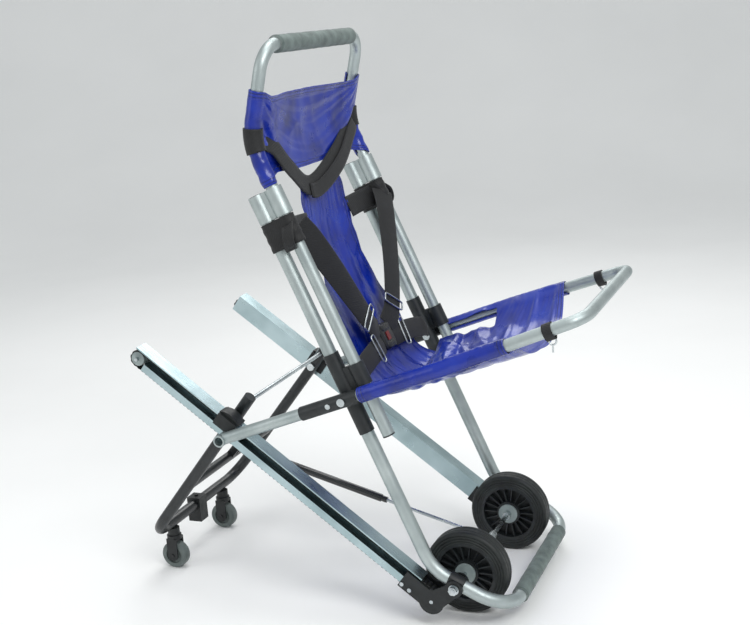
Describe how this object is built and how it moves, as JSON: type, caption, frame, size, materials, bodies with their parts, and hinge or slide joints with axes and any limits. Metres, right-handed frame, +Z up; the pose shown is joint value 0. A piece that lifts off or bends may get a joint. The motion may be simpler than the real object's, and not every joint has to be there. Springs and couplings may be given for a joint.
{
  "type": "stair chair",
  "caption": "Folding evacuation stair chair: sling seat and back on a bent-tube frame, push handle, rear belt tracks, main wheels and a caster stand with a gas spring.",
  "frame": {"origin": "on the floor, at the middle of the chair's length and width", "axes": "+X forward, the way the seated person faces; +Y to their left; +Z up"},
  "size_m": [1.065, 0.5856, 1.2102],
  "materials": {
    "tube_silver": "satin silver-grey finish on aluminium tube",
    "rail_silver": "satin anodised extrusion",
    "sleeve_black": "moulded black nylon",
    "cast_black": "black powder coat",
    "stand_black": "black powder coat on steel tube",
    "steel": "zinc-plated steel",
    "webbing_black": "woven polyester webbing",
    "coated_blue": "glossy coated tarpaulin cloth",
    "foam_grey": "closed-cell foam grip",
    "buckle_black": "moulded acetal",
    "tongue_steel": "pressed steel plate",
    "button_red": "moulded red plastic",
    "tyre_black": "solid rubber",
    "bush_grey": "moulded grey nylon",
    "belt_rubber": "ribbed rubber belt",
    "caster_grey": "grey rubber tread on a moulded core",
    "gas_black": "gloss black painted cylinder"
  },
  "bodies": {
    "main_frame": {"main_tube_left": "tube_silver", "main_tube_right": "tube_silver", "foot_loop": "tube_silver", "foot_grip": "foam_grey", "main_sleeves": "sleeve_black", "guide_collars": "tube_silver", "handle_guides": "sleeve_black", "axle_blocks": "cast_black", "wheel_axle": "steel", "axle_nuts": "steel", "tube_caps": "sleeve_black", "pivot_pins": "steel", "anchor_straps": "webbing_black", "shoulder_belt_left": "webbing_black", "shoulder_belt_right": "webbing_black", "back_sling": "coated_blue", "lap_belt": "webbing_black", "buckle_body": "buckle_black"},
    "handle": {"handle_tube": "tube_silver", "handle_grip": "foam_grey", "handle_plugs": "sleeve_black", "headrest_sling": "coated_blue", "head_strap": "webbing_black"},
    "seat": {"seat_tube": "tube_silver", "seat_sling": "coated_blue", "seat_sleeves": "sleeve_black", "seat_hardware": "steel", "seat_rear_sockets": "tube_silver"},
    "buckle_tongue": {"buckle_tongue": "tongue_steel"},
    "buckle_button": {"buckle_button": "button_red"},
    "wheel_left": {"tyre_left": "tyre_black", "wheel_left": "sleeve_black", "wheel_bush_left": "bush_grey"},
    "wheel_right": {"tyre_right": "tyre_black", "wheel_right": "sleeve_black", "wheel_bush_right": "bush_grey"},
    "tracks": {"rail_left": "rail_silver", "rail_right": "rail_silver", "track_belt_left": "belt_rubber", "track_belt_right": "belt_rubber", "end_plates": "cast_black", "track_bolts": "steel"},
    "pulley_upper_left": {"pulley_upper_left": "bush_grey"},
    "pulley_upper_right": {"pulley_upper_right": "bush_grey"},
    "pulley_lower_left": {"pulley_lower_left": "bush_grey"},
    "pulley_lower_right": {"pulley_lower_right": "bush_grey"},
    "sliders": {"slider_saddles": "cast_black", "slider_bolts": "steel"},
    "stand": {"stand_tube": "stand_black", "stand_cross_bar": "stand_black", "tie_rod": "steel", "stand_foot": "cast_black", "stand_caps": "sleeve_black"},
    "caster_left": {"caster_fork_left": "cast_black"},
    "caster_right": {"caster_fork_right": "cast_black"},
    "caster_wheel_left": {"caster_wheel_left": "caster_grey"},
    "caster_wheel_right": {"caster_wheel_right": "caster_grey"},
    "gas_rod": {"gas_rod": "steel"},
    "gas_cylinder": {"gas_cylinder": "gas_black"}
  },
  "joints": [
    {"name": "handle_slide", "type": "slide", "parent": "main_frame", "child": "handle", "axis": [-0.3866, 0, 0.9223], "range_m": [0, 0.09]},
    {"name": "seat_fold", "type": "hinge", "parent": "main_frame", "child": "seat", "pos_m": [0.03603, 0, 0.487], "axis": [0, -1, 0], "range_deg": [0, 60]},
    {"name": "track_swing", "type": "hinge", "parent": "main_frame", "child": "tracks", "pos_m": [0.24003, 0, 0.09], "axis": [0, -1, 0], "range_deg": [0, 4.27]},
    {"name": "slider_travel", "type": "slide", "parent": "tracks", "child": "sliders", "axis": [-0.7949, 0, 0.6067], "range_m": [-0.30264, 0]},
    {"name": "stand_swing", "type": "hinge", "parent": "sliders", "child": "stand", "pos_m": [-0.25572, 0, 0.41048], "axis": [0, -1, 0], "range_deg": [-65.36, 0]},
    {"name": "gas_swing", "type": "hinge", "parent": "main_frame", "child": "gas_rod", "pos_m": [0.24003, 0, 0.09], "axis": [0, -1, 0], "range_deg": [-2.96, 0]},
    {"name": "gas_stroke", "type": "slide", "parent": "gas_rod", "child": "gas_cylinder", "axis": [-0.9604, 0, 0.2786], "range_m": [-0.1668, 0]},
    {"name": "buckle_release", "type": "slide", "parent": "main_frame", "child": "buckle_tongue", "axis": [0, -1, 0], "range_m": [0, 0.06]},
    {"name": "buckle_press", "type": "slide", "parent": "main_frame", "child": "buckle_button", "axis": [-0.9223, 0, -0.3866], "range_m": [0, 0.0032], "stiffness_N_per_m": 400, "springref_m": -0.001},
    {"name": "wheel_left_spin", "type": "hinge", "parent": "main_frame", "child": "wheel_left", "pos_m": [0.24003, 0.162, 0.09], "axis": [0, 1, 0], "continuous": true},
    {"name": "pulley_upper_left_spin", "type": "hinge", "parent": "tracks", "child": "pulley_upper_left", "pos_m": [-0.45542, 0.2384, 0.54848], "axis": [0, 1, 0], "continuous": true},
    {"name": "pulley_lower_left_spin", "type": "hinge", "parent": "tracks", "child": "pulley_lower_left", "pos_m": [0.18928, 0.2384, 0.05646], "axis": [0, 1, 0], "continuous": true},
    {"name": "caster_left_swivel", "type": "hinge", "parent": "stand", "child": "caster_left", "pos_m": [-0.50047, 0.119, 0.112], "axis": [0, 0, 1], "continuous": true},
    {"name": "caster_left_roll", "type": "hinge", "parent": "caster_left", "child": "caster_wheel_left", "pos_m": [-0.50047, 0.119, 0.032], "axis": [0, 1, 0], "continuous": true},
    {"name": "wheel_right_spin", "type": "hinge", "parent": "main_frame", "child": "wheel_right", "pos_m": [0.24003, -0.162, 0.09], "axis": [0, 1, 0], "continuous": true},
    {"name": "pulley_upper_right_spin", "type": "hinge", "parent": "tracks", "child": "pulley_upper_right", "pos_m": [-0.45542, -0.2384, 0.54848], "axis": [0, 1, 0], "continuous": true},
    {"name": "pulley_lower_right_spin", "type": "hinge", "parent": "tracks", "child": "pulley_lower_right", "pos_m": [0.18928, -0.2384, 0.05646], "axis": [0, 1, 0], "continuous": true},
    {"name": "caster_right_swivel", "type": "hinge", "parent": "stand", "child": "caster_right", "pos_m": [-0.50047, -0.119, 0.112], "axis": [0, 0, 1], "continuous": true},
    {"name": "caster_right_roll", "type": "hinge", "parent": "caster_right", "child": "caster_wheel_right", "pos_m": [-0.50047, -0.119, 0.032], "axis": [0, 1, 0], "continuous": true}
  ],
  "couplings": [
    {"joint": "track_swing", "follows": "seat_fold", "ratio": 0.064559},
    {"joint": "slider_travel", "follows": "seat_fold", "m_per_rad": -0.28709},
    {"joint": "stand_swing", "follows": "seat_fold", "ratio": -1.0811},
    {"joint": "gas_swing", "follows": "seat_fold", "ratio": -0.044318},
    {"joint": "gas_stroke", "follows": "seat_fold", "m_per_rad": -0.15737}
  ]
}
